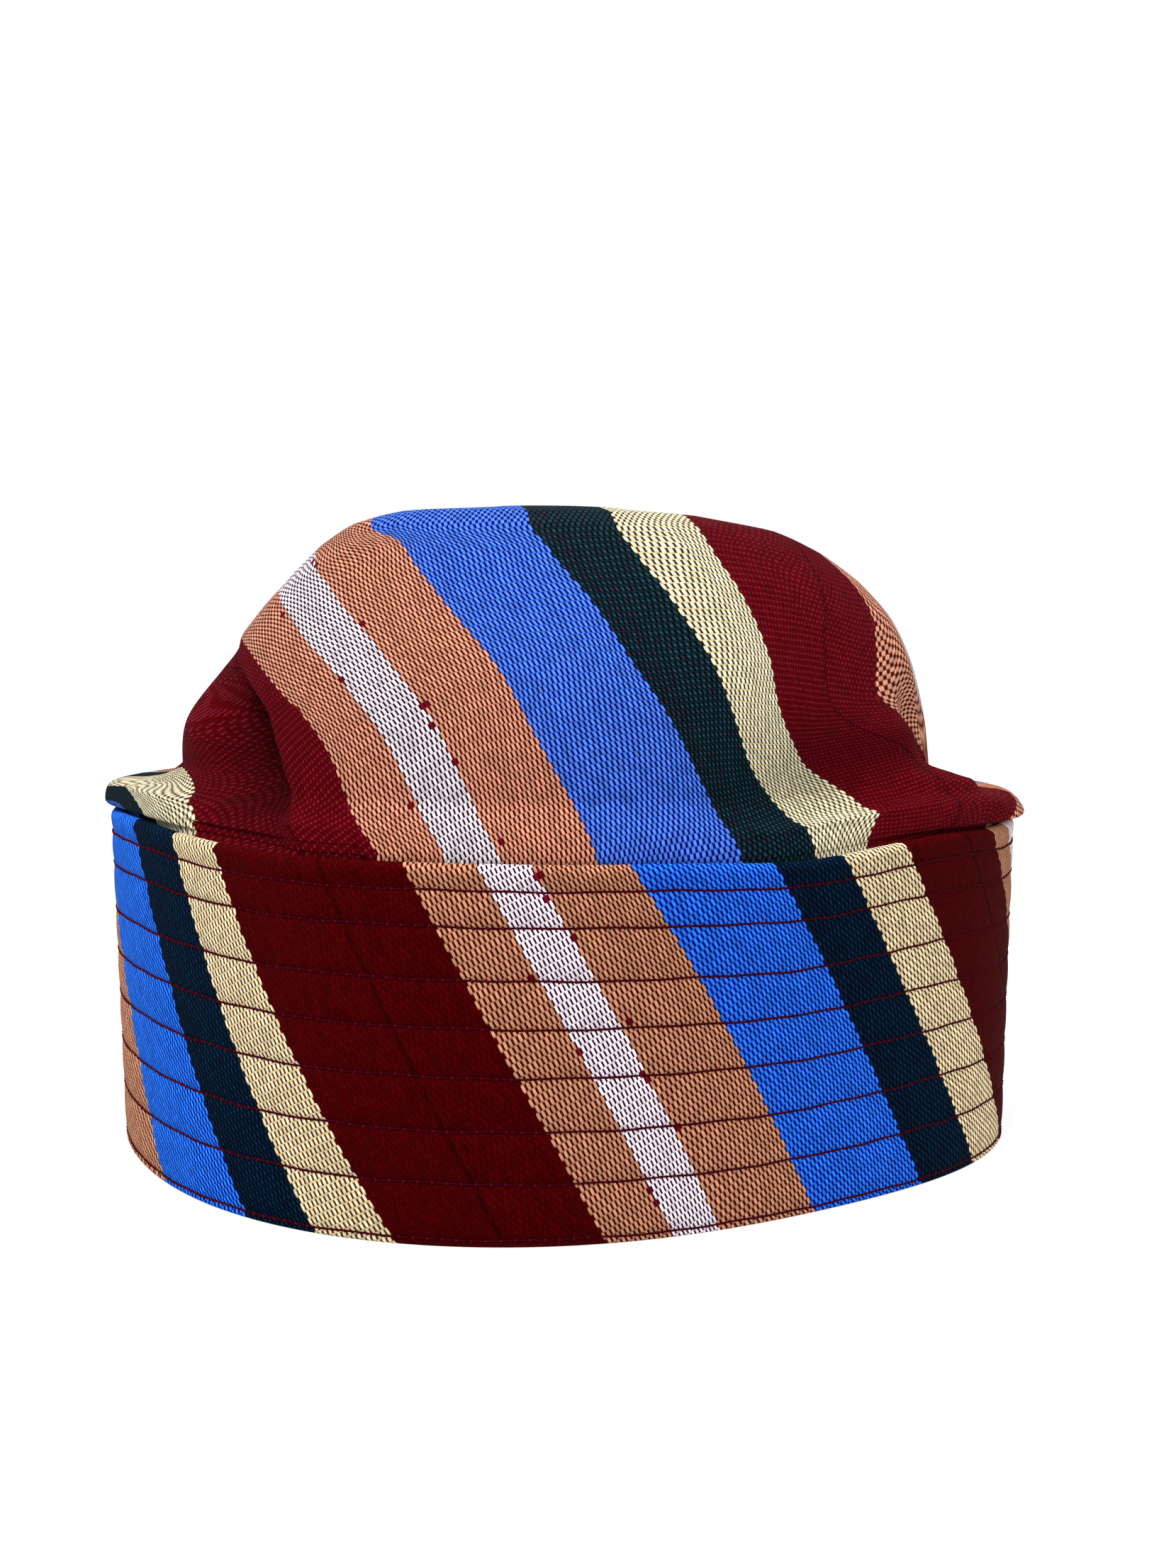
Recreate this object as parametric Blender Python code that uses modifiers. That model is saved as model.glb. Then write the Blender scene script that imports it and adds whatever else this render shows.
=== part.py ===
"""Fila cap: a soft cloth crown that stands inside a stiff quilted cloth band, open underneath."""

import math
from collections import namedtuple

import bmesh
import bpy

# Driving sizes in metres.
RING_RADIUS = 0.096  # mean outer radius of the band at its top edge
BAND_HEIGHT = 0.0693
BAND_WALL = 0.0035  # several layers, quilted together
BAND_DRAW_IN = 0.0015  # how much narrower the band is at its foot
HEM_ROUND = 0.0008  # rounding of the band's bottom corners
PILLOW_RISE = 0.0005  # puff of the cloth between two rows of stitches
EDGE_WAVE = 0.0011  # the highest wave of the band's top edge
CROWN_RISE = 0.066  # top of the crown above the band
CLOTH_WALL = 0.0018  # the crown's cloth, with its seam allowances
LAYER_GAP = 0.0003  # between the crown and the band
ROLL_OVERHANG = 0.0026  # how far the crown hangs out over the band's top edge
ROLL_HOLLOW = 0.0027  # room inside the rolled cloth on the edge
ROLL_LIFT = 0.0002  # how much higher than the gap the roll passes over the edge

# Mesh density. The crown's columns stand closer together at its crease, and at a third of a turn either side.
BAND_COLUMNS = 72
CROWN_COLUMNS = 76
COLUMN_CROWDING = 0.35
WALL_STEPS = 3
EDGE_STEPS = 4
DOME_ROWS = 15

# Waves of the ring's outline, as seen from above: the front is at -90 degrees.
Wave = namedtuple("Wave", "count top_cos top_sin foot_cos foot_sin")
RING_WAVES = [
    Wave(2, 0.012, 0.037, 0.012, 0.041),
    Wave(3, 0.005, 0.040, 0.019, 0.033),
    Wave(4, 0.010, -0.003, 0.005, -0.011),
]

# Rises and dips along the band's top edge, as shares of the highest wave.
Rise = namedtuple("Rise", "angle width share")
EDGE_RISES = [
    Rise(-155, 14, 0.8),
    Rise(-120, 13, -0.6),
    Rise(-60, 12, -1.0),
    Rise(-30, 12, 0.7),
]

# Rows of stitches that quilt the band, as shares of its height below its top edge.
QUILT_ROWS = [0.068, 0.162, 0.300, 0.426, 0.554, 0.695, 0.833, 0.981]

# How the crown lies on the band's top edge, round the ring.
# over: how far out it reaches, from the band's inner face, 0, to the full overhang, 1.
# loft: height of the rolled cloth, as a share of the hollow. ledge: 1 where the cloth lies flat before it rises.
Seat = namedtuple("Seat", "angle over loft ledge")
EDGE_SEATS = [
    Seat(-180, 0.85, 0.50, 1.0),
    Seat(-160, 0.40, 0.50, 0.8),
    Seat(-135, 0.05, 0.50, 0.4),
    Seat(-100, 0.00, 0.40, 0.0),
    Seat(-72, 0.00, 0.40, 0.1),
    Seat(-48, 0.02, 0.70, 0.9),
    Seat(-22, 0.40, 0.90, 0.5),
    Seat(0, 1.00, 0.80, 0.6),
    Seat(25, 0.60, 0.55, 0.6),
    Seat(60, 0.02, 0.50, 0.2),
    Seat(120, 0.02, 0.50, 0.2),
    Seat(155, 0.50, 0.50, 0.8),
]

# The path of the crown's cloth over the band's edge.
# across: share of the reach. drop: share of the band's wall below its top. up: share of the roll's height.
Lip = namedtuple("Lip", "across drop up")
LIP_PATH = [
    Lip(0.00, 0.70, 0.00),
    Lip(0.02, 0.26, 0.00),
    Lip(0.14, 0.00, 0.01),
    Lip(0.45, 0.00, 0.04),
    Lip(0.93, 0.00, 0.09),
    Lip(1.00, 0.00, 0.36),
    Lip(0.90, 0.00, 0.76),
    Lip(0.55, 0.00, 0.97),
]

# The shelf of cloth from the roll to the dome: how far it has come inwards and upwards.
Shelf = namedtuple("Shelf", "inward upward")
SHELF_PATH = [Shelf(0.58, 0.15)]

# The dome, section by section. height is a share of the crown's rise, the rest are shares of the ring's radius.
Section = namedtuple("Section", "height right left front back")
DOME_SECTIONS = [
    Section(0.15, 0.812, 0.835, 0.910, 0.918),
    Section(0.30, 0.805, 0.800, 0.885, 0.900),
    Section(0.42, 0.785, 0.765, 0.850, 0.875),
    Section(0.54, 0.755, 0.725, 0.795, 0.830),
    Section(0.66, 0.710, 0.665, 0.715, 0.760),
    Section(0.77, 0.640, 0.600, 0.625, 0.665),
    Section(0.86, 0.555, 0.540, 0.525, 0.560),
    Section(0.93, 0.450, 0.470, 0.420, 0.440),
    Section(0.975, 0.280, 0.360, 0.285, 0.290),
    Section(0.995, 0.110, 0.150, 0.120, 0.120),
]

# The deep crease at the crown's left, from its top down to the band. height is a share of the crown's rise,
# depth a share of the ring's radius, and lobe and front are its widths in degrees on either side.
Crease = namedtuple("Crease", "height angle depth lobe front")
CREASE_PATH = [
    Crease(0.57, -178, 0.000, 9, 9),
    Crease(0.50, -170, 0.028, 10, 8),
    Crease(0.44, -157, 0.085, 11, 7),
    Crease(0.37, -145, 0.150, 11, 6),
    Crease(0.27, -139, 0.160, 12, 6),
    Crease(0.16, -134, 0.115, 13, 6),
    Crease(0.00, -128, 0.025, 9, 6),
]
CREASE_DRAG = 62  # degrees either side over which the columns follow the crease
CREASE_EDGE = 4  # how square the crease's front side is

# The ridge at the crown's right, which runs from the dome down to the roll. rise is a share of the ring's radius,
# and front and back are its widths in degrees on either side.
Ridge = namedtuple("Ridge", "height angle rise front back")
RIDGE_PATH = [
    Ridge(0.42, -31, 0.000, 15, 8),
    Ridge(0.37, -25, 0.010, 15, 6),
    Ridge(0.30, -22, 0.036, 15, 6),
    Ridge(0.23, -20, 0.036, 16, 5),
    Ridge(0.19, -17, 0.056, 17, 5),
    Ridge(0.15, -13, 0.125, 18, 7),
]

# Softer folds and swells: heights are shares of the crown's rise, depth is a share of the ring's radius.
Fold = namedtuple("Fold", "angle width height spread depth")
SOFT_FOLDS = [
    Fold(-8, 10, 0.31, 0.15, -0.045),
    Fold(-168, 15, 0.29, 0.12, 0.034),
    Fold(-50, 12, 0.18, 0.12, -0.040),
    Fold(120, 18, 0.40, 0.25, -0.030),
    Fold(62, 16, 0.35, 0.22, -0.025),
]

CLOTH_COLOURS = {
    "band": (0.052, 0.160, 0.560, 1.0),
    "crown": (0.270, 0.006, 0.020, 1.0),
}


def blend(low, high, share):
    return low + (high - low) * share


def bell(distance, width):
    return math.exp(-((distance / width) ** 2))


def turn_from(start, end):
    """The turn from one angle to another, between -180 and 180 degrees."""
    return (end - start + 180) % 360 - 180


def around(rows, angle, column):
    """Reads a column of a table of angles, with soft steps from each row to the next."""
    for row, following in zip(rows, rows[1:] + rows[:1]):
        span = (following.angle - row.angle) % 360
        gone = (angle - row.angle) % 360
        if gone <= span:
            share = 0.5 - 0.5 * math.cos(math.pi * gone / span)
            return blend(getattr(row, column), getattr(following, column), share)
    return getattr(rows[0], column)


def along(rows, height, column):
    """Reads a column of a table of heights on a smooth curve through its rows, and holds its ends."""
    rows = sorted(rows, key=lambda row: row.height)
    values = [getattr(row, column) for row in rows]
    if height <= rows[0].height:
        return values[0]
    for i in range(len(rows) - 1):
        low, high = rows[i].height, rows[i + 1].height
        if height > high:
            continue
        step = (height - low) / (high - low)
        before, after = values[max(i - 1, 0)], values[min(i + 2, len(rows) - 1)]
        rise_low = (values[i + 1] - before) / 2
        rise_high = (after - values[i]) / 2
        ease = step * step * (3 - 2 * step)
        bend = rise_low * step * (1 - step) ** 2 - rise_high * step**2 * (1 - step)
        return blend(values[i], values[i + 1], ease) + bend
    return values[-1]


def ring_share(angle, height):
    """The ring's outline: its radius at an angle, as a share of the mean."""
    turn = math.radians(angle)
    share = 1.0
    for wave in RING_WAVES:
        cosine = blend(wave.foot_cos, wave.top_cos, height / BAND_HEIGHT)
        sine = blend(wave.foot_sin, wave.top_sin, height / BAND_HEIGHT)
        share += cosine * math.cos(wave.count * turn) + sine * math.sin(wave.count * turn)
    return share


def outer_radius(angle, height):
    """The band's outer face, leaving out the quilting."""
    narrowing = BAND_DRAW_IN * (1 - height / BAND_HEIGHT)
    return RING_RADIUS * ring_share(angle, height) - narrowing


def crown_radius(angle, height):
    """The crown's outer surface where it stands inside the band."""
    return outer_radius(angle, height) - BAND_WALL - LAYER_GAP


def edge_height(angle):
    """The band's top edge, which waves a little."""
    waves = sum(rise.share * bell(turn_from(rise.angle, angle), rise.width) for rise in EDGE_RISES)
    return BAND_HEIGHT + EDGE_WAVE * waves


def band_profile():
    """The band's cut: pairs of the depth behind its outer face and the height, from its hem up and round."""
    rows = [BAND_HEIGHT * (1 - share) for share in reversed(QUILT_ROWS)]
    profile = [(HEM_ROUND, 0.0), (HEM_ROUND * 0.3, HEM_ROUND * 0.3)]
    for low, high in zip(rows, rows[1:]):
        profile.append((PILLOW_RISE, low))
        profile.append((0.0, (low + high) / 2))
    profile.append((PILLOW_RISE, rows[-1]))
    edge = BAND_WALL / 2
    for step in range(EDGE_STEPS + 1):
        turn = math.pi * step / EDGE_STEPS
        profile.append((edge - edge * math.cos(turn), BAND_HEIGHT - edge + edge * math.sin(turn)))
    for step in range(WALL_STEPS - 1, 0, -1):
        profile.append((BAND_WALL, BAND_HEIGHT * step / WALL_STEPS))
    profile.append((BAND_WALL, HEM_ROUND))
    profile.append((BAND_WALL - HEM_ROUND, 0.0))
    return profile


def band_point(angle, depth, height):
    turn = math.radians(angle)
    radius = outer_radius(angle, height) - depth
    lifted = height * edge_height(angle) / BAND_HEIGHT
    return (radius * math.cos(turn), radius * math.sin(turn), lifted)


def dome_radius(angle, height):
    """The dome's outline at one height, blended between its four sides."""
    turn = math.radians(angle)
    side = along(DOME_SECTIONS, height, "right" if math.cos(turn) > 0 else "left")
    face = along(DOME_SECTIONS, height, "back" if math.sin(turn) > 0 else "front")
    smooth = RING_RADIUS * ring_share(angle, BAND_HEIGHT) * blend(side, face, math.sin(turn) ** 2)
    return smooth + ridge_rise(angle, height)


def ridge_rise(angle, height):
    """How far the ridge at the right moves the cloth out."""
    off = turn_from(along(RIDGE_PATH, height, "angle"), angle)
    width = along(RIDGE_PATH, height, "back" if off > 0 else "front")
    return RING_RADIUS * along(RIDGE_PATH, height, "rise") * bell(off, width)


def crease_depth(angle, height):
    """How far the deep crease pulls the cloth in."""
    off = turn_from(along(CREASE_PATH, height, "angle"), angle)
    if off > 0:
        reach = math.exp(-((off / along(CREASE_PATH, height, "front")) ** CREASE_EDGE))
    else:
        reach = bell(off, along(CREASE_PATH, height, "lobe"))
    return RING_RADIUS * along(CREASE_PATH, height, "depth") * reach


def fold_depth(angle, height):
    """How far the softer folds move the cloth out."""
    moved = 0.0
    for fold in SOFT_FOLDS:
        reach = bell(turn_from(fold.angle, angle), fold.width)
        moved += fold.depth * reach * bell(height - fold.height, fold.spread)
    return RING_RADIUS * moved


def crease_follow(angle, height):
    """Leans a column of the crown's mesh along the deep crease."""
    foot = CREASE_PATH[-1].angle
    lean = along(CREASE_PATH, height, "angle") - foot
    return angle + lean * bell(turn_from(foot, angle), CREASE_DRAG)


def lip_row(lip, angle):
    """One point of the cloth's path over the band's edge: its radius and height."""
    seat = {column: around(EDGE_SEATS, angle, column) for column in ("over", "loft", "ledge")}
    edge = edge_height(angle)
    if lip.drop:
        height = edge - lip.drop * BAND_WALL
        inner = crown_radius(angle, height * BAND_HEIGHT / edge)
    else:
        roll = 2 * CLOTH_WALL + ROLL_HOLLOW * seat["loft"]
        height = edge + LAYER_GAP + ROLL_LIFT + lip.up * roll
        inner = crown_radius(angle, BAND_HEIGHT)
    reach = seat["over"] * (BAND_WALL + LAYER_GAP + ROLL_OVERHANG)
    foot = DOME_SECTIONS[0].height
    risen = max(height - edge, 0.0) / (foot * CROWN_RISE)
    leaning = (inner - dome_radius(angle, foot)) * risen**1.5 * (1 - seat["ledge"])
    return inner + lip.across * reach - leaning, height


def shelf_row(shelf, angle):
    """One point of the shelf between the roll and the dome: its radius and height."""
    foot = DOME_SECTIONS[0].height
    radius, height = lip_row(LIP_PATH[-1], angle)
    upward = blend(shelf.inward, shelf.upward, around(EDGE_SEATS, angle, "ledge"))
    inward = blend(radius, dome_radius(angle, foot), shelf.inward)
    return inward, blend(height, edge_height(angle) + foot * CROWN_RISE, upward)


def dome_row(share, angle):
    """One point of the dome: its radius and height."""
    settled = blend(edge_height(angle), BAND_HEIGHT, share)
    return dome_radius(angle, share), settled + CROWN_RISE * share


def dome_heights():
    """The heights of the dome's rows, closer together towards its flat top."""
    low, high = DOME_SECTIONS[0].height, DOME_SECTIONS[-1].height
    return [blend(low, high, math.sin(math.pi / 2 * i / (DOME_ROWS - 1))) for i in range(DOME_ROWS)]


def crown_point(row, key, angle):
    """Places and folds one point of the crown above the band's edge."""
    _, height = row(key, angle)
    above = (height - edge_height(angle)) / CROWN_RISE
    angle = crease_follow(angle, above)
    radius, height = row(key, angle)
    if above > 0:
        radius += fold_depth(angle, above) - crease_depth(angle, above)
    turn = math.radians(angle)
    return (radius * math.cos(turn), radius * math.sin(turn), height)


def skirt_point(angle, height):
    """One point of the crown inside the band."""
    turn = math.radians(angle)
    radius = crown_radius(angle, height)
    return (radius * math.cos(turn), radius * math.sin(turn), height * edge_height(angle) / BAND_HEIGHT)


def crown_angles():
    """The directions of the crown's columns, which crowd together at the crease."""
    crease = math.radians(CREASE_PATH[-1].angle)
    angles = []
    for i in range(CROWN_COLUMNS):
        turn = 2 * math.pi * i / CROWN_COLUMNS
        angles.append(math.degrees(turn - COLUMN_CROWDING * math.sin(3 * (turn - crease)) / 3))
    return angles


def cloth_material(name):
    material = bpy.data.materials.new(name + "_cloth")
    material.use_nodes = True
    shader = material.node_tree.nodes["Principled BSDF"]
    shader.inputs["Base Color"].default_value = CLOTH_COLOURS[name]
    shader.inputs["Roughness"].default_value = 0.85
    shader.inputs["Metallic"].default_value = 0.0
    return material


def loft(name, rows, collection, closed_profile=False, peak=None):
    """Joins rows of points, each a loop round the cap, into one mesh object."""
    form = bmesh.new()
    loops = [[form.verts.new(point) for point in row] for row in rows]
    pairs = list(zip(loops, loops[1:]))
    if closed_profile:
        pairs.append((loops[-1], loops[0]))
    for lower, upper in pairs:
        for i in range(len(lower)):
            j = (i + 1) % len(lower)
            form.faces.new((lower[i], lower[j], upper[j], upper[i]))
    if peak:
        top = form.verts.new(peak)
        for i in range(len(loops[-1])):
            form.faces.new((loops[-1][i], loops[-1][(i + 1) % len(loops[-1])], top))
    mesh = bpy.data.meshes.new(name)
    form.to_mesh(mesh)
    form.free()
    mesh.shade_smooth()
    mesh.materials.append(cloth_material(name))
    piece = bpy.data.objects.new(name, mesh)
    collection.objects.link(piece)
    return piece


def make_band(collection):
    angles = [360 * i / BAND_COLUMNS for i in range(BAND_COLUMNS)]
    rows = [[band_point(angle, depth, height) for angle in angles] for depth, height in band_profile()]
    return loft("band", rows, collection, closed_profile=True)


def make_crown(collection):
    """The crown is one layer of cloth, thickened inwards from its outer surface."""
    angles = crown_angles()
    skirt = [BAND_HEIGHT * step / WALL_STEPS for step in range(WALL_STEPS)]
    rows = [[skirt_point(angle, height) for angle in angles] for height in skirt]
    rows += [[crown_point(lip_row, lip, angle) for angle in angles] for lip in LIP_PATH]
    rows += [[crown_point(shelf_row, shelf, angle) for angle in angles] for shelf in SHELF_PATH]
    rows += [[crown_point(dome_row, height, angle) for angle in angles] for height in dome_heights()]
    piece = loft("crown", rows, collection, peak=(0.0, 0.0, BAND_HEIGHT + CROWN_RISE))
    wall = piece.modifiers.new("Cloth wall", "SOLIDIFY")
    wall.thickness = CLOTH_WALL
    wall.offset = -1
    return piece


def middle_of(pieces):
    """The middle of the pieces' box, seen from above."""
    points = [vertex.co for piece in pieces for vertex in piece.data.vertices]
    return [(min(point[axis] for point in points) + max(point[axis] for point in points)) / 2 for axis in (0, 1)]


def main():
    for leftover in list(bpy.data.objects):
        bpy.data.objects.remove(leftover)
    collection = bpy.data.collections.new("fila_cap")
    bpy.context.scene.collection.children.link(collection)
    pieces = [make_band(collection), make_crown(collection)]
    across, deep = middle_of(pieces)
    centre = bpy.data.objects.new("cap_centre", None)
    centre.location = (-across, -deep, 0.0)
    collection.objects.link(centre)
    for piece in pieces:
        piece.parent = centre


main()
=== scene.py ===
"""Looks of the fila cap: striped hand-woven cloth, quilted on the band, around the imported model."""

import math
from collections import namedtuple

import bpy
import numpy as np
from mathutils import Matrix, Vector


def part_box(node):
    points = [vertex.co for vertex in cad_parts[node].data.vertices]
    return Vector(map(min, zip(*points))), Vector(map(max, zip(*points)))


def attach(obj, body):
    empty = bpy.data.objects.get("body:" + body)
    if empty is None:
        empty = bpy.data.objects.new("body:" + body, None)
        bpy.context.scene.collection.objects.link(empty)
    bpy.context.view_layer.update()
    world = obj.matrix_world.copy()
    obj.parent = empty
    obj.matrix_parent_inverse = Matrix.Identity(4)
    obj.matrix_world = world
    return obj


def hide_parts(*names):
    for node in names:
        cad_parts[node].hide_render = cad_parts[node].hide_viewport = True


# Sizes of the cap in metres, the same as in the part's source.
RING_RADIUS = 0.096
BAND_HEIGHT = 0.0693
BAND_WALL = 0.0035
BAND_DRAW_IN = 0.0015
HEM_ROUND = 0.0008
PILLOW_RISE = 0.0005
EDGE_WAVE = 0.0011
CROWN_RISE = 0.066
CLOTH_WALL = 0.0018
LAYER_GAP = 0.0003
ROLL_OVERHANG = 0.0026
ROLL_HOLLOW = 0.0027
ROLL_LIFT = 0.0002
LEAN_POWER = 1.5  # how late the cloth above the band's edge leans towards the dome

# Mesh density, finer than the solids.
BAND_COLUMNS = 720
PILLOW_STEPS = 9
HEM_STEPS = 4
SHOULDER_STEPS = [0.0, 0.15, 0.4, 0.7]  # of the way from the highest stitches to the rounded edge
EDGE_STEPS = 12
INSIDE_STEPS = 8
CROWN_COLUMNS = 360
COLUMN_CROWDING = 0.35
CROWDED_PLACES = 3  # round the ring, one of them at the crease
SKIRT_ROWS = 4
LIP_STEPS = 3
SHELF_STEPS = 6
DOME_ROWS = 64
TRACK_STEPS = 2880  # round the ring, to measure a row of stitches
BOX_TURN = 5.0  # degrees between the places where the ring's box is measured

# The cloth. It is woven in strips, which are sewn side by side, and each strip is one repeat of the stripes.
STRIP_WIDTH = 0.136
COLUMNS_PER_STRIP = 129
ROW_PITCH = 0.00145
REPEATS_ROUND = 4

# Stitches of the band. The thread is thickest where it goes into the cloth.
STITCH_LENGTH = 0.00265
STITCH_SIDES = 5
STITCH_SWAY = 0.00008
Sway = namedtuple("Sway", "count shift")
STITCH_SWAYS = [Sway(17, 2.1), Sway(41, 5.3)]  # waves round the ring, and radians from each row to the next
Bead = namedtuple("Bead", "along radius")
STITCH_BEADS = [
    Bead(0.00, 0.00018),
    Bead(0.05, 0.00032),
    Bead(0.13, 0.00028),
    Bead(0.20, 0.00020),
    Bead(0.60, 0.00021),
    Bead(0.98, 0.00017),
]
KNOT_END = 0.18  # of a stitch's length
THREAD_OUT = 0.6  # of its radius: how far the middle of the thread stands out of the cloth

# The camera, from the photo's perspective. Its place is counted from the middle of the ring's top.
PHOTO_LONG_SIDE = 2212  # pixels
FOCAL_LENGTH = 3300  # pixels
SENSOR = 36.0  # millimetres
CAMERA_PLACE = (0.0055, -0.5079, 0.0503)
CAMERA_PITCH = 5.0
CAMERA_ROLL = 0.91

# The light.
Sun = namedtuple("Sun", "name place power spread")
SUNS = [
    Sun("key", (-0.4, -0.4, 1.0), 5.0, 35.0),
    Sun("fill", (0.9, -0.25, 0.5), 1.6, 50.0),
]
FLOOR_GLOW = 0.8
FLOOR_SHADE = 0.2
FLOOR_REACH = 6.0
FLOOR_ROUGHNESS = 0.9

# Angles round the cap are in degrees, as seen from above.
FRONT_ANGLE = -90
BACK_ANGLE = 90

# Waves of the ring's outline.
Wave = namedtuple("Wave", "count top_cos top_sin foot_cos foot_sin")
RING_WAVES = [
    Wave(2, 0.012, 0.037, 0.012, 0.041),
    Wave(3, 0.005, 0.040, 0.019, 0.033),
    Wave(4, 0.010, -0.003, 0.005, -0.011),
]

# Rises and dips along the band's top edge, as shares of the highest wave.
Rise = namedtuple("Rise", "angle width share")
EDGE_RISES = [
    Rise(-155, 14, 0.8),
    Rise(-120, 13, -0.6),
    Rise(-60, 12, -1.0),
    Rise(-30, 12, 0.7),
]

# Rows of stitches that quilt the band, as shares of its height below its top edge.
QUILT_ROWS = [0.068, 0.162, 0.300, 0.426, 0.554, 0.695, 0.833, 0.981]

# How the crown lies on the band's top edge, round the ring.
Seat = namedtuple("Seat", "angle over loft ledge")
EDGE_SEATS = [
    Seat(-180, 0.85, 0.50, 1.0),
    Seat(-160, 0.40, 0.50, 0.8),
    Seat(-135, 0.05, 0.50, 0.4),
    Seat(-100, 0.00, 0.40, 0.0),
    Seat(-72, 0.00, 0.40, 0.1),
    Seat(-48, 0.02, 0.70, 0.9),
    Seat(-22, 0.40, 0.90, 0.5),
    Seat(0, 1.00, 0.80, 0.6),
    Seat(25, 0.60, 0.55, 0.6),
    Seat(60, 0.02, 0.50, 0.2),
    Seat(120, 0.02, 0.50, 0.2),
    Seat(155, 0.50, 0.50, 0.8),
]

# The path of the crown's cloth over the band's edge.
Lip = namedtuple("Lip", "across drop up")
LIP_PATH = [
    Lip(0.00, 0.70, 0.00),
    Lip(0.02, 0.26, 0.00),
    Lip(0.14, 0.00, 0.01),
    Lip(0.45, 0.00, 0.04),
    Lip(0.93, 0.00, 0.09),
    Lip(1.00, 0.00, 0.36),
    Lip(0.90, 0.00, 0.76),
    Lip(0.55, 0.00, 0.97),
]
Shelf = namedtuple("Shelf", "inward upward")
SHELF_PATH = [Shelf(0.58, 0.15)]

# The dome's sections. A height is a share of the crown's rise, the rest are shares of the ring's radius.
Section = namedtuple("Section", "height right left front back")
DOME_SECTIONS = [
    Section(0.15, 0.812, 0.835, 0.910, 0.918),
    Section(0.30, 0.805, 0.800, 0.885, 0.900),
    Section(0.42, 0.785, 0.765, 0.850, 0.875),
    Section(0.54, 0.755, 0.725, 0.795, 0.830),
    Section(0.66, 0.710, 0.665, 0.715, 0.760),
    Section(0.77, 0.640, 0.600, 0.625, 0.665),
    Section(0.86, 0.555, 0.540, 0.525, 0.560),
    Section(0.93, 0.450, 0.470, 0.420, 0.440),
    Section(0.975, 0.280, 0.360, 0.285, 0.290),
    Section(0.995, 0.110, 0.150, 0.120, 0.120),
]

# The deep crease at the crown's left, from its top down to the band.
Crease = namedtuple("Crease", "height angle depth lobe front")
CREASE_PATH = [
    Crease(0.57, -178, 0.000, 9, 9),
    Crease(0.50, -170, 0.028, 10, 8),
    Crease(0.44, -157, 0.085, 11, 7),
    Crease(0.37, -145, 0.150, 11, 6),
    Crease(0.27, -139, 0.160, 12, 6),
    Crease(0.16, -134, 0.115, 13, 6),
    Crease(0.00, -128, 0.025, 9, 6),
]
CREASE_DRAG = 62
CREASE_EDGE = 4  # how square the crease's front side is

# The ridge at the crown's right, which runs from the dome down to the roll.
Ridge = namedtuple("Ridge", "height angle rise front back")
RIDGE_PATH = [
    Ridge(0.42, -31, 0.000, 15, 8),
    Ridge(0.37, -25, 0.010, 15, 6),
    Ridge(0.30, -22, 0.036, 15, 6),
    Ridge(0.23, -20, 0.036, 16, 5),
    Ridge(0.19, -17, 0.056, 17, 5),
    Ridge(0.15, -13, 0.125, 18, 7),
]

# Softer folds and swells.
Fold = namedtuple("Fold", "angle width height spread depth")
SOFT_FOLDS = [
    Fold(-8, 10, 0.31, 0.15, -0.045),
    Fold(-168, 15, 0.29, 0.12, 0.034),
    Fold(-50, 12, 0.18, 0.12, -0.040),
    Fold(120, 18, 0.40, 0.25, -0.030),
    Fold(62, 16, 0.35, 0.22, -0.025),
]

# Lines where the band's cloth changes colour: the share of the repeat, and the angles at its top edge and its
# foot. Whole shares are seams between two strips. The last rows come round to the first ones again.
Line = namedtuple("Line", "share top foot")
BAND_LINES = [
    Line(0.000, -115.9, -94.6),
    Line(0.107, -106.1, -84.1),
    Line(0.204, -98.3, -76.0),
    Line(0.289, -92.4, -69.5),
    Line(0.427, -82.2, -54.7),
    Line(0.621, -64.4, -33.6),
    Line(0.730, -53.0, -19.6),
    Line(0.836, -40.5, -6.4),
    Line(1.000, -25.0, 9.0),
    Line(3.289, 159.0, 194.0),
    Line(3.427, 182.9, 216.5),
    Line(3.621, 205.3, 235.2),
    Line(3.730, 218.1, 244.6),
    Line(3.836, 227.3, 253.7),
    Line(4.000, 244.1, 265.4),
]

# How far the stripes of the crown's front have moved round at an angle, in millimetres, at shares of its rise.
SHIFT_HEIGHTS = [0.00, 0.12, 0.25, 0.40, 0.55, 0.70, 0.85, 0.98]
STRIPE_SHIFTS = {
    -180: [35.0, 69.0, 81.5, 81.5, 102.0, 114.5, 127.5, 153.5],
    -165: [9.0, 40.0, 62.5, 61.5, 82.5, 96.0, 110.0, 133.0],
    -150: [10.5, 24.0, 40.0, 49.5, 64.0, 77.5, 93.5, 113.5],
    -135: [6.0, 9.5, 18.5, 35.0, 48.5, 61.5, 75.5, 95.5],
    -120: [-1.0, 8.0, 14.0, 24.5, 35.5, 48.5, 63.0, 78.5],
    -105: [-0.5, 6.0, 11.5, 18.5, 28.5, 40.0, 51.0, 62.5],
    -90: [4.5, 8.5, 13.5, 19.5, 25.5, 33.5, 41.5, 46.0],
    -75: [7.5, 9.0, 13.0, 18.0, 23.5, 27.5, 31.0, 31.0],
    -60: [2.5, 6.5, 13.5, 17.0, 16.0, 17.0, 16.5, 12.5],
    -40: [0.0, -6.0, 3.5, 18.5, 14.5, 7.5, 2.5, -10.5],
    -20: [-7.0, -12.5, -12.0, 2.5, 0.5, -7.5, -17.5, -35.5],
    0: [-21.5, -33.0, -28.5, -21.0, -15.5, -17.5, -28.0, -62.5],
}
FRONT_SHARE = 0.335  # of the repeat, at the middle of the front and the foot of the crown
TOP_SHARE = 0.689  # at the middle of the flat top, where the stripes are straight
TOP_RIGHT = 6.27  # how much the share grows per metre to the right, and per metre to the back
TOP_BACK = 0.59
TOP_FROM = 0.86  # of the crown's rise, where the stripes begin to straighten
TOP_EASE = 0.10
BACK_LEAN = -90  # the angle in the table that the back follows
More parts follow.
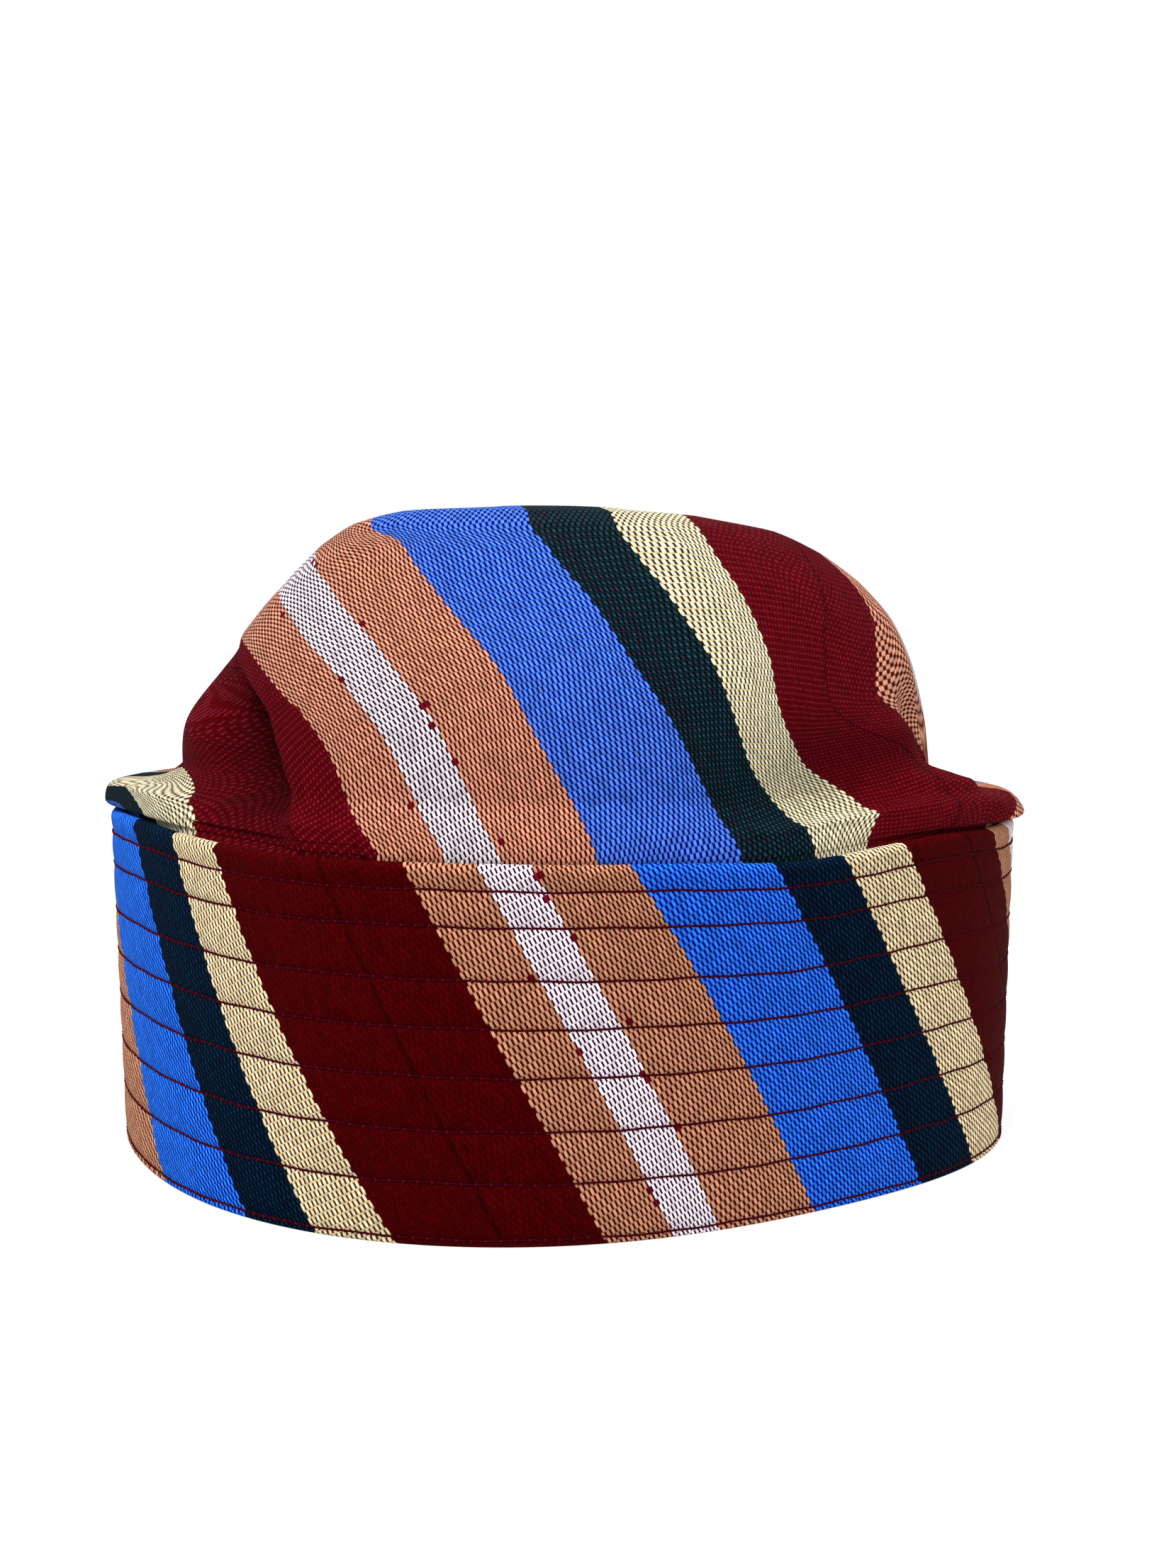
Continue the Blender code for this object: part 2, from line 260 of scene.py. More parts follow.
BACK_STRIPES = 0.87  # of the stripes that fit round the back at their true width
NEAR_PEAK = 0.001  # behind the peak, where the back's stripes are read for it

# The crown's two panels meet in seams at these angles.
RIGHT_SEAM = 10
LEFT_SEAM = 170

# How the rows of the weave are laid over the crown.
WEAVE_SLANT = 0.15  # how little the weave minds being slanted, beside being stretched
WEAVE_TWIST = 0.02  # how much it minds that a cell's opposite sides differ
WEAVE_ROUNDS = 1500
SIGHT_TOP = 0.9  # of the crown's rise. The flat top and the cloth inside the band are out of sight in front.
HIDDEN_WEIGHT = 0.02  # how little the cloth that is out of sight counts
REACH_RIGHT = 5  # how much closer together the rows lie for each metre to the right
REACH_LIMIT = 0.05  # metres to the side, beyond which that doesn't change
TINY = 1e-18  # keeps a flat cell from dividing by zero

# Where the front's stripes are so wide or narrow that they hold more or fewer columns of ovals: the shares of
# the repeat, the fewest and the most columns beside the usual number, and the end that they are counted from.
Spare = namedtuple("Spare", "name low high fewest most counted_from")
SPARES = [
    Spare("spare_left", -0.150, 0.0, 1.0, 2.2, 0),
    Spare("spare_right", 0.0, 0.095, 1.0, 2.2, -1),
    Spare("spare_edge", 1.100, 1.250, 0.45, 1.0, 0),
]
LEAST_STEEP = 1e-9  # the least that counts for a cell's slope squared times its area squared

# How many rows the weave has moved up at shares of the repeat.
ROW_DRIFT = {0.35: 0.0, 0.50: 1.5, 1.20: 15.0}

# Rows of the crown's weave for each row of the band's in the same length, at shares of the crown's rise.
WEAVE_REACH = {0.0: 1.10, 0.3: 1.15, 0.5: 0.98, 0.6: 0.85, 0.7: 0.75, 0.9: 0.53, 1.0: 0.50}

# Yarns: their colours between the ovals, where the weft shows, darker with painted shade; on the ovals' sides,
# in painted shade;
# and on their tops, as a painted highlight; and a tint for each yarn on the band, painted light and shade for
# its dimmer, bluer light.
Yarn = namedtuple("Yarn", "gap side top band")
MAROON = Yarn((0.105, 0.000, 0.001), (0.120, 0.000, 0.003), (0.245, 0.019, 0.048), (0.64, 0.00, 0.17))
ORANGE = Yarn((0.065, 0.001, 0.000), (0.485, 0.122, 0.060), (0.940, 0.500, 0.340), (1.00, 1.05, 0.93))
WHITE = Yarn((0.015, 0.000, 0.003), (0.740, 0.610, 0.720), (1.080, 1.050, 1.080), (1.52, 1.46, 1.52))
BLUE = Yarn((0.000, 0.002, 0.150), (0.014, 0.082, 0.720), (0.140, 0.345, 0.980), (0.32, 1.05, 1.34))
GREEN = Yarn((0.000, 0.001, 0.004), (0.004, 0.020, 0.030), (0.026, 0.076, 0.098), (0.20, 0.62, 1.15))
CREAM = Yarn((0.050, 0.026, 0.008), (0.860, 0.740, 0.430), (1.220, 1.220, 1.000), (1.22, 1.08, 1.00))

# The stripes of one strip, from its left seam, and the share of it where each begins.
STRIPES = {
    0.000: MAROON,
    0.107: ORANGE,
    0.204: WHITE,
    0.289: ORANGE,
    0.427: BLUE,
    0.621: GREEN,
    0.730: CREAM,
    0.836: MAROON,
}

# How often an oval by the white yarn is maroon, and one in the green yarn brown, from shares of the repeat.
MAROON_FLECKS = {0: 0, 0.098: 0.02, 0.115: 0, 0.195: 0.02, 0.211: 0, 0.280: 0.05, 0.296: 0.02, 0.304: 0}
BROWN_FLECKS = {0: 0, 0.621: 0.60, 0.645: 0.30, 0.670: 0.08, 0.730: 0}
MAROON_FLECK = (0.240, 0.004, 0.024)
BROWN_FLECK = (0.060, 0.030, 0.046)

# How deep the ribs between the rows of ovals are, from shares of the repeat. They are painted shade between the
# rows, which takes the painted highlight off the ovals there.
RIBS = {0: 0.95, 0.107: 0, 0.621: 0.60, 0.730: 0.25, 0.836: 0.95}
TIGHT_EVEN = 0.65  # how far the pull on the band evens them out; it dims the painted highlight on the band where the ribs are deep

# The ovals of the weave, and the two strands of each.
OVAL_WIDE = 0.34  # half the width of an oval, in columns
OVAL_LONG = 0.64  # half its length, in rows
OVAL_SQUARE = 3.2  # how square its ends are
OVAL_EDGE = 0.30  # of its height, where the gap's colour has gone
OVAL_HIGHLIGHT_FROM = 0.50  # of its height, where the painted highlight of its top begins
STRAND_WIDE = 0.56  # half the width of a strand, beside OVAL_WIDE
STRAND_DEPTH = 0.6
RELIEF = 0.00028
DRIFT_SCALE = 0.1
DRIFT_DETAIL = 2.0
DRIFT_REACH = 0.6  # columns and rows over which the weave wanders
STRIP_STEP = 0.37  # rows that each strip is off from the last

# Tones of the cloth.
CROWN_TONE = 0.46  # how bright the yarns look, beside their table
BAND_TONE = 0.47
TONE_SPREAD = 0.36  # between the darkest oval and the brightest
CHANCE_STIR = 7.31  # makes a second chance number out of the first
HOLLOW_PAINTED_SHADE = 0.90  # painted shade: how much darker the cloth is painted at the bottom of the crease
HOLLOW_POWER = 0.8
CLOTH_ROUGHNESS = 0.8
CLOTH_GLOSS = 0.01

# The seams between the strips, darkened with painted shade along their groove.
SEAM_EDGES = (0.1, 0.7)  # columns from its middle, where the seam's shade begins to go, and has gone
SEAM_SHADE = 0.2
SEAM_GATHER = 0.3  # how much more painted shade there is where its stitches pull
SEAM_STITCH = 1.7  # radians of the seam's stitches for each row of ovals

# The thread of the band's stitches.
STITCH_COLOUR = (0.024, 0.000, 0.003)
KNOT_COLOUR = (0.055, 0.001, 0.004)
THREAD_GLOSS = 0.02
FIBRE_SCALE = 4000.0
FIBRE_STRENGTH = 0.4
FIBRE_RELIEF = 0.00005


def blend(low, high, share):
    return low + (high - low) * share


def bell(distance, width):
    return np.exp(-((distance / width) ** 2))


def soft_step(share):
    """Rises from 0 to 1, and is level at both ends."""
    return share * share * (3 - 2 * share)


def curve_between(before, low, high, after, share):
    """A place on the smooth curve from low to high, with the curve's points before and after them."""
    start = (high - before) / 2 * share * (1 - share) ** 2
    end = (after - low) / 2 * share**2 * (1 - share)
    return blend(low, high, soft_step(share)) + start - end


def turn_from(start, end):
    """The turn from one angle to another, between -180 and 180 degrees."""
    return (end - start + 180) % 360 - 180


def around(rows, angle, column):
    """Reads a column of a table of angles, with soft steps from each row to the next."""
    starts = np.array([row.angle for row in rows] + [rows[0].angle + 360.0])
    values = np.array([getattr(row, column) for row in rows + rows[:1]])
    turned = starts[0] + (angle - starts[0]) % 360
    i = np.clip(np.searchsorted(starts, turned, side="right") - 1, 0, len(rows) - 1)
    share = (turned - starts[i]) / (starts[i + 1] - starts[i])
    return blend(values[i], values[i + 1], 0.5 - 0.5 * np.cos(np.pi * share))


def smooth_curve(places, values, place):
    """Reads a smooth curve through values at places, and holds its ends."""
    places, values = np.array(places, float), np.array(values, float)
    held = np.clip(place, places[0], places[-1])
    i = np.clip(np.searchsorted(places, held, side="right") - 1, 0, len(places) - 2)
    share = (held - places[i]) / (places[i + 1] - places[i])
    before, after = values[np.maximum(i - 1, 0)], values[np.minimum(i + 2, len(places) - 1)]
    return curve_between(before, values[i], values[i + 1], after, share)


def along(rows, height, column):
    """Reads a column of a table of heights on a smooth curve through its rows."""
    rows = sorted(rows, key=lambda row: row.height)
    return smooth_curve([row.height for row in rows], [getattr(row, column) for row in rows], height)


def ring_share(angle, height):
    """The ring's outline: its radius at an angle, as a share of the mean."""
    turn = np.radians(angle)
    share = 1.0
    for wave in RING_WAVES:
        cosine = blend(wave.foot_cos, wave.top_cos, height / BAND_HEIGHT)
        sine = blend(wave.foot_sin, wave.top_sin, height / BAND_HEIGHT)
        share = share + cosine * np.cos(wave.count * turn) + sine * np.sin(wave.count * turn)
    return share


def outer_radius(angle, height):
    """The band's outer face, leaving out the quilting."""
    narrowing = BAND_DRAW_IN * (1 - height / BAND_HEIGHT)
    return RING_RADIUS * ring_share(angle, height) - narrowing


def crown_radius(angle, height):
    """The crown's outer surface where it stands inside the band."""
    return outer_radius(angle, height) - BAND_WALL - LAYER_GAP


def edge_height(angle):
    """The band's top edge, which waves a little."""
    waves = sum(rise.share * bell(turn_from(rise.angle, angle), rise.width) for rise in EDGE_RISES)
    return BAND_HEIGHT + EDGE_WAVE * waves


def dome_radius(angle, height):
    """The dome's outline at one height, blended between its four sides."""
    turn = np.radians(angle)
    right, left, front, back = (along(DOME_SECTIONS, height, column) for column in Section._fields[1:])
    side = np.where(np.cos(turn) > 0, right, left)
    face = np.where(np.sin(turn) > 0, back, front)
    share = blend(side, face, np.sin(turn) ** 2)
    return RING_RADIUS * ring_share(angle, BAND_HEIGHT) * share + ridge_rise(angle, height)


def ridge_rise(angle, height):
    """How far the ridge at the right moves the cloth out."""
    off = turn_from(along(RIDGE_PATH, height, "angle"), angle)
    width = np.where(off > 0, along(RIDGE_PATH, height, "back"), along(RIDGE_PATH, height, "front"))
    return RING_RADIUS * along(RIDGE_PATH, height, "rise") * bell(off, width)


def crease_depth(angle, height):
    """How far the deep crease pulls the cloth in."""
    off = turn_from(along(CREASE_PATH, height, "angle"), angle)
    lobe = bell(off, along(CREASE_PATH, height, "lobe"))
    front = np.exp(-(np.abs(off) / along(CREASE_PATH, height, "front")) ** CREASE_EDGE)
    return RING_RADIUS * along(CREASE_PATH, height, "depth") * np.where(off > 0, front, lobe)


def crease_share(points):
    """How deep in the crease each point of the crown lies, as a share of its greatest depth."""
    x, y, z = points[..., 0], points[..., 1], points[..., 2]
    angle = np.degrees(np.arctan2(y, x))
    above = np.clip((z - edge_height(angle)) / CROWN_RISE, 0.0, 1.0)
    return crease_depth(angle, above) / (RING_RADIUS * max(row.depth for row in CREASE_PATH))


def fold_depth(angle, height):
    """How far the softer folds move the cloth out."""
    moved = 0.0
    for fold in SOFT_FOLDS:
        reach = bell(turn_from(fold.angle, angle), fold.width)
        moved = moved + fold.depth * reach * bell(height - fold.height, fold.spread)
    return RING_RADIUS * moved


def crease_follow(angle, height):
    """Leans a column of the crown's mesh along the deep crease."""
    foot = CREASE_PATH[-1].angle
    lean = along(CREASE_PATH, height, "angle") - foot
    return angle + lean * bell(turn_from(foot, angle), CREASE_DRAG)


def lip_row(lip, angle):
    """One row of the cloth's path over the band's edge: its radii and heights."""
    edge = edge_height(angle)
    if lip.drop:
        height = edge - lip.drop * BAND_WALL
        inner = crown_radius(angle, height * BAND_HEIGHT / edge)
    else:
        roll = 2 * CLOTH_WALL + ROLL_HOLLOW * around(EDGE_SEATS, angle, "loft")
        height = edge + LAYER_GAP + ROLL_LIFT + lip.up * roll
        inner = crown_radius(angle, BAND_HEIGHT)
    reach = around(EDGE_SEATS, angle, "over") * (BAND_WALL + LAYER_GAP + ROLL_OVERHANG)
    foot = DOME_SECTIONS[0].height
    risen = np.maximum(height - edge, 0.0) / (foot * CROWN_RISE)
    off_ledge = 1 - around(EDGE_SEATS, angle, "ledge")
    leaning = (inner - dome_radius(angle, foot)) * risen**LEAN_POWER * off_ledge
    return inner + lip.across * reach - leaning, height


def shelf_row(shelf, angle):
    """One row of the shelf between the roll and the dome: its radii and heights."""
    foot = DOME_SECTIONS[0].height
    radius, height = lip_row(LIP_PATH[-1], angle)
    upward = blend(shelf.inward, shelf.upward, around(EDGE_SEATS, angle, "ledge"))
    inward = blend(radius, dome_radius(angle, foot), shelf.inward)
    return inward, blend(height, edge_height(angle) + foot * CROWN_RISE, upward)


def dome_row(share, angle):
    """One row of the dome: its radii and heights."""
    settled = blend(edge_height(angle), BAND_HEIGHT, share)
    return dome_radius(angle, share), settled + CROWN_RISE * share


def dome_heights():
    """The heights of the dome's rows, closer together towards its flat top."""
    low, high = DOME_SECTIONS[0].height, DOME_SECTIONS[-1].height
    return [blend(low, high, math.sin(math.pi / 2 * i / (DOME_ROWS - 1))) for i in range(DOME_ROWS)]


def on_circle(radius, angle, height):
    turn = np.radians(angle)
    return np.stack([radius * np.cos(turn), radius * np.sin(turn), height + 0 * turn], axis=-1)


def crown_row(row, key, angle):
    """Places and folds one row of the crown above the band's edge."""
    _, height = row(key, angle)
    above = (height - edge_height(angle)) / CROWN_RISE
    angle = crease_follow(angle, above)
    radius, height = row(key, angle)
    folded = fold_depth(angle, above) - crease_depth(angle, above)
    return on_circle(radius + np.where(above > 0, folded, 0.0), angle, height)


def skirt_row(angle, height):
    """One row of the crown inside the band."""
    return on_circle(crown_radius(angle, height), angle, height * edge_height(angle) / BAND_HEIGHT)


def crown_angles():
    """The directions of the crown's columns, which crowd together at the crease."""
    turn = 2 * np.pi * np.arange(CROWN_COLUMNS) / CROWN_COLUMNS
    crease = math.radians(CREASE_PATH[-1].angle)
    return np.degrees(turn - COLUMN_CROWDING * np.sin(CROWDED_PLACES * (turn - crease)) / CROWDED_PLACES)


def smooth_rows(rows, steps):
    """Adds rows between the given ones, on smooth curves through them."""
    made = []
    for i in range(len(rows) - 1):
        before, after = rows[max(i - 1, 0)], rows[min(i + 2, len(rows) - 1)]
        for step in range(steps[i]):
            made.append(curve_between(before, rows[i], rows[i + 1], after, step / steps[i]))
    return made


def crown_rows():
    """The crown's outer surface, row by row, from the foot inside the band to the rim of its flat top."""
    angle = crown_angles()
    skirt = [skirt_row(angle, BAND_HEIGHT * step / SKIRT_ROWS) for step in range(SKIRT_ROWS)]
    lips = [crown_row(lip_row, lip, angle) for lip in LIP_PATH]
    shelf = [crown_row(shelf_row, step, angle) for step in SHELF_PATH]
    dome = [crown_row(dome_row, height, angle) for height in dome_heights()]
    turned = smooth_rows(lips + shelf + dome[:2], [LIP_STEPS] * (len(lips) - 1) + [SHELF_STEPS] * 2 + [1])
    return np.array(skirt + turned[:-1] + dome)


def back_share(x, y, above):
    """The share of the repeat at the crown's back."""
    lean = smooth_curve(SHIFT_HEIGHTS, STRIPE_SHIFTS[BACK_LEAN], above) / 1000
    turned = np.hypot(x, y) * np.arctan2(-x, y) * BACK_STRIPES
    return FRONT_SHARE + REPEATS_ROUND / 2 + (lean + turned) / STRIP_WIDTH


def crown_share(points, back):
    """The share of the repeat that each point of the crown has, counted round from the seam of the front."""
    x, y, z = points[..., 0], points[..., 1], points[..., 2]
    above = np.clip((z - BAND_HEIGHT) / CROWN_RISE, 0.0, 1.0)
    if back:
        return back_share(x, y, above)
    angle = np.degrees(np.arctan2(y, x))
    angle = np.where(angle > BACK_ANGLE, angle - 360, angle)
    angles = np.array(list(STRIPE_SHIFTS))
    columns = np.array([smooth_curve(SHIFT_HEIGHTS, shifts, above) for shifts in STRIPE_SHIFTS.values()])
    held = np.clip(angle, angles[0], angles[-1])
    i = np.clip(np.searchsorted(angles, held, side="right") - 1, 0, len(angles) - 2)
    step = (held - angles[i]) / (angles[i + 1] - angles[i])

    def pick(k):
        return np.take_along_axis(columns, np.clip(k, 0, len(angles) - 1)[None], axis=0)[0]

    shift = curve_between(pick(i - 1), pick(i), pick(i + 1), pick(i + 2), step)
    turned = (angle - FRONT_ANGLE) / (360 / REPEATS_ROUND)
    round_share = FRONT_SHARE + turned + shift / 1000 / STRIP_WIDTH
    flat_share = TOP_SHARE + TOP_RIGHT * x + TOP_BACK * y
    return blend(round_share, flat_share, soft_step(np.clip((above - TOP_FROM) / TOP_EASE, 0, 1)))


def over_rows(value):
    """The mean step from each row of a grid to the next, for each of its cells."""
    step = np.diff(value, axis=0)
    return (step[:, 1:] + step[:, :-1]) / 2


def over_columns(value):
    step = np.diff(value, axis=1)
    return (step[1:] + step[:-1]) / 2


def spread_back(row_part, column_part):
    """Adds what each cell asks of the steps across it to the four points of the cell."""
    out = np.zeros((row_part.shape[0] + 1, row_part.shape[1] + 1))
    out[1:, 1:] += (row_part + column_part) / 2
    out[1:, :-1] += (row_part - column_part) / 2
    out[:-1, 1:] += (column_part - row_part) / 2
    out[:-1, :-1] -= (row_part + column_part) / 2
    return out


class Cells:
    """The cells of a grid of cloth, with the two sides of each."""

    def __init__(self, points):
        self.down, self.side = over_rows(points), over_columns(points)
        self.down_down, self.side_side = (self.down**2).sum(-1), (self.side**2).sum(-1)
        self.down_side = (self.down * self.side).sum(-1)
        self.area_squared = np.maximum(self.down_down * self.side_side - self.down_side**2, TINY)

    def shares(self, on_down, on_side):
        """How much of each side makes up a vector, from its dot products with both."""
        of_down = self.side_side * on_down - self.down_side * on_side
        of_side = self.down_down * on_side - self.down_side * on_down
        return of_down / self.area_squared, of_side / self.area_squared


def spare_columns(points, across):
    """How many more columns of ovals than usual the cloth holds, up to each point, for each of SPARES."""
    cells = Cells(points)
    rise, run = over_rows(across), over_columns(across)
    of_down, of_side = cells.shares(rise, run)
    slope_squared = np.maximum(of_down * rise + of_side * run, LEAST_STEEP / cells.area_squared)
    density = STRIP_WIDTH * np.sqrt(slope_squared)
    spare = []
    for part in SPARES:
        more = COLUMNS_PER_STRIP * (np.clip(1 / density, part.fewest, part.most) - 1)
        more = np.vstack([more[:1], (more[1:] + more[:-1]) / 2, more[-1:]])
        grown = np.cumsum(more * np.diff(np.clip(across, part.low, part.high), axis=1), axis=1)
        grown = np.concatenate([np.zeros((len(points), 1)), grown], axis=1)
        spare.append(grown - grown[:, [part.counted_from]])
    return np.stack(spare, axis=-1)


def best_fit(push, pull, scale):
    """Solves push(value) = pull by conjugate gradients, where scale is roughly what push does."""
    value = np.zeros(pull.shape)
    left = pull
    eased = left / scale
    search = eased.copy()
    power = (left * eased).sum()
    for _ in range(WEAVE_ROUNDS):
        pushed = push(search)
        length = power / (search * pushed).sum()
        value += length * search
        left = left - length * pushed
        eased = left / scale
        fresh = (left * eased).sum()
        search = eased + fresh / power * search
        power = fresh
    return value


def lengthwise(points, across):
    """How far along the stripes each point of a grid of cloth lies, in metres.

    Woven cloth slants more easily than it stretches, so the rows of the weave keep their distance along the
    stripes. This is the best fit to all cells of the grid.
    """
    cells = Cells(points)
    area = np.sqrt(cells.area_squared)
    risen = (points[1:, 1:, 2] - BAND_HEIGHT) / CROWN_RISE
    is_in_sight = (risen > 0) & (risen < SIGHT_TOP) & (points[1:, 1:, 1] < 0)
    weight = area * np.where(is_in_sight, 1.0, HIDDEN_WEIGHT)

    of_down, of_side = cells.shares(over_rows(across), over_columns(across))
    sideways = of_down[..., None] * cells.down + of_side[..., None] * cells.side
    sideways /= np.linalg.norm(sideways, axis=-1, keepdims=True) + TINY
    forward = np.cross(np.cross(cells.side, cells.down) / area[..., None], sideways)

    def steps_of(heading):
        return cells.shares((heading * cells.down).sum(-1), (heading * cells.side).sum(-1))

    forward_down, forward_side = steps_of(forward)
    sideways_down, sideways_side = steps_of(sideways)
    twist = WEAVE_TWIST * weight / (cells.down_down + cells.side_side)

    def push(value):
        rows, columns = over_rows(value), over_columns(value)
        along_it = weight * (forward_down * rows + forward_side * columns)
        across_it = weight * WEAVE_SLANT * (sideways_down * rows + sideways_side * columns)
        out = spread_back(
            forward_down * along_it + sideways_down * across_it,
            forward_side * along_it + sideways_side * across_it,
        )
        turned = twist * (value[1:, 1:] - value[1:, :-1] - value[:-1, 1:] + value[:-1, :-1])
        out[1:, 1:] += turned
        out[1:, :-1] -= turned
        out[:-1, 1:] -= turned
        out[:-1, :-1] += turned
        return out

    def on_diagonal(sign):
        """What push does to a cell's two points on one of its diagonals."""
        stretched = (forward_down + sign * forward_side) ** 2
        slanted = (sideways_down + sign * sideways_side) ** 2
        return weight * (stretched + WEAVE_SLANT * slanted) / 4 + twist

    scale = np.zeros(across.shape)
    scale[1:, 1:] += on_diagonal(1)
    scale[:-1, :-1] += on_diagonal(1)
    scale[1:, :-1] += on_diagonal(-1)
    scale[:-1, 1:] += on_diagonal(-1)

    above = (points[..., 2] - BAND_HEIGHT) / CROWN_RISE
    reach = smooth_curve(list(WEAVE_REACH), list(WEAVE_REACH.values()), above)
    reach = reach * (1 + REACH_RIGHT * np.clip(points[..., 0], -REACH_LIMIT, REACH_LIMIT))
    reach = (reach[1:, 1:] + reach[1:, :-1] + reach[:-1, 1:] + reach[:-1, :-1]) / 4
    return best_fit(push, spread_back(reach * weight * forward_down, reach * weight * forward_side), scale)


def new_piece(name, points, faces, weave, material):
    """A mesh object from points, the numbers of each face's points, and the weave's place at each corner."""
    mesh = bpy.data.meshes.new(name)
    mesh.from_pydata(points.tolist(), [], faces)
    layer = mesh.uv_layers.new(name="weave")
    layer.data.foreach_set("uv", np.array(weave, np.float32).ravel())
    mesh.shade_smooth()
    mesh.materials.append(material)
    piece = bpy.data.objects.new(name, mesh)
    piece.location = RING_CENTRE
    bpy.context.scene.collection.objects.link(piece)
    return piece


def ring_centre():
    """The middle of the ring in the frame, which isn't the middle of its box."""
    low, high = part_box("band")
    angle = np.arange(0, 360, BOX_TURN)
    outline = np.concatenate([on_circle(outer_radius(angle, z), angle, z) for z in (0.0, BAND_HEIGHT)])
    middle = (outline.min(0) + outline.max(0)) / 2
    return Vector(((low.x + high.x) / 2 - middle[0], (low.y + high.y) / 2 - middle[1], 0.0))


def band_profile():
    """The band's cut, as depths behind its outer face and heights: hem, outer face, top edge and inside."""
    rows = [BAND_HEIGHT * (1 - share) for share in reversed(QUILT_ROWS)]
    profile = []
    for step in range(HEM_STEPS):
        turn = math.pi / 2 * step / HEM_STEPS
        profile.append((HEM_ROUND * (1 - math.sin(turn)), HEM_ROUND * (1 - math.cos(turn))))
    for low, high in zip(rows, rows[1:]):
        for step in range(PILLOW_STEPS):
            share = 0.5 - 0.5 * math.cos(math.pi * step / PILLOW_STEPS)
            puff = math.sqrt(1 - (2 * share - 1) ** 2)
            profile.append((PILLOW_RISE * (1 - puff), blend(low, high, share)))
    edge = BAND_WALL / 2
    for share in SHOULDER_STEPS:
        profile.append((PILLOW_RISE * (1 - share) ** 2, blend(rows[-1], BAND_HEIGHT - edge, share)))
    for step in range(EDGE_STEPS + 1):
        turn = math.pi * step / EDGE_STEPS
        profile.append((edge - edge * math.cos(turn), BAND_HEIGHT - edge + edge * math.sin(turn)))
    for step in range(INSIDE_STEPS - 1, 0, -1):
        profile.append((BAND_WALL, BAND_HEIGHT * step / INSIDE_STEPS))
    profile.append((BAND_WALL, HEM_ROUND))
    profile.append((BAND_WALL - HEM_ROUND, 0.0))
    return profile


def band_angle(share, height):
    """The angle at which the band's cloth has a share of the repeat, at a height."""
    shares, tops, feet = zip(*BAND_LINES)
    return blend(np.interp(share, shares, feet), np.interp(share, shares, tops), height / BAND_HEIGHT)


def band_lengths(grid):
    """How far along its stripes each point of the band lies, from a line that crosses them all squarely."""
    base = len(grid) // 3  # a row of the outer face
    step = np.diff(grid[base], axis=0)
    rise = (grid[base + 1] - grid[base])[:-1]
    rise /= np.linalg.norm(rise, axis=-1, keepdims=True)
    start = np.concatenate([[0.0], np.cumsum((step * rise).sum(-1))])
    climbed = np.cumsum(np.linalg.norm(np.diff(grid, axis=0), axis=-1), axis=0)
    climbed = np.vstack([np.zeros(len(start)), climbed])
    return start[None] + climbed - climbed[base]


def make_band(material):
    """The band's columns lean with its stripes, so each follows one thread of its cloth."""
    shares = REPEATS_ROUND * np.arange(BAND_COLUMNS + 1) / BAND_COLUMNS
    rows = []
    for depth, height in band_profile():
        angle = band_angle(shares, height)
        lifted = height * edge_height(angle) / BAND_HEIGHT
        rows.append(on_circle(outer_radius(angle, height) - depth, angle, lifted))
    count = len(rows)
    grid = np.array(rows + rows[:1])
    u, v = shares * COLUMNS_PER_STRIP, band_lengths(grid) / ROW_PITCH
    faces, weave = [], []
    for i in range(count):
        for j in range(BAND_COLUMNS):
            near, far = i * BAND_COLUMNS, (i + 1) % count * BAND_COLUMNS
            k = (j + 1) % BAND_COLUMNS
            faces.append((near + j, near + k, far + k, far + j))
            weave += [(u[j], v[i, j]), (u[j + 1], v[i, j + 1])]
            weave += [(u[j + 1], v[i + 1, j + 1]), (u[j], v[i + 1, j])]
    piece = new_piece("band_cloth", grid[:-1, :-1].reshape(-1, 3), faces, weave, material)
    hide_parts("band")
    return piece


def make_crown(material):
    """One layer of cloth, in two panels that meet in a seam from left to right over the top."""
    rows = crown_rows()
    count, columns = rows.shape[:2]
    peak = np.array([0.0, 0.0, BAND_HEIGHT + CROWN_RISE])
    angles = crown_angles()
    right, left = (int(np.argmin(np.abs(turn_from(seam, angles)))) for seam in (RIGHT_SEAM, LEFT_SEAM))
    order = np.arange(2 * columns) % columns
    faces, weave, spare = [], [], []
    for first, last, back in ((right, left, True), (left, columns + right, False)):
        picked = order[first : last + 1]
        grid = np.concatenate([rows[:, picked], np.broadcast_to(peak, (1, len(picked), 3))])
        across = crown_share(grid, back)
        if back:
            across[-1] = crown_share(np.array([[0.0, NEAR_PEAK, peak[2]]]), back)[0]
        u, v = across * COLUMNS_PER_STRIP, lengthwise(grid, across * STRIP_WIDTH) / ROW_PITCH
        more = np.zeros((*across.shape, len(SPARES)))
        if not back:
            more = spare_columns(grid, across)
            v = v + np.interp(across, list(ROW_DRIFT), list(ROW_DRIFT.values()))
        for i in range(count):
            for j in range(len(picked) - 1):
                near = [i * columns + picked[j], i * columns + picked[j + 1]]
                corners = [(i, j), (i, j + 1), (i + 1, j + 1), (i + 1, j)]
                if i < count - 1:
                    faces.append((*near, near[1] + columns, near[0] + columns))
                else:
                    # Round the peak, the cells are triangles.
                    faces.append((*near, count * columns))
                    corners.pop(2)
                weave += [(u[corner], v[corner]) for corner in corners]
                spare += [more[corner] for corner in corners]
    points = np.concatenate([rows.reshape(-1, 3), peak[None]])
    piece = new_piece("crown_cloth", points, faces, weave, material)
    # How deep each point lies in the crease; the cloth's material turns it into painted shade.
    hollow = piece.data.attributes.new("hollow", "FLOAT", "POINT")
    hollow.data.foreach_set("value", crease_share(points).astype(np.float32))
    for part, values in zip(SPARES, np.array(spare, np.float32).T):
        piece.data.attributes.new(part.name, "FLOAT", "CORNER").data.foreach_set("value", values.copy())
    wall = piece.modifiers.new("Cloth wall", "SOLIDIFY")
    wall.thickness = CLOTH_WALL
    wall.offset = -1
    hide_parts("crown")
    return piece


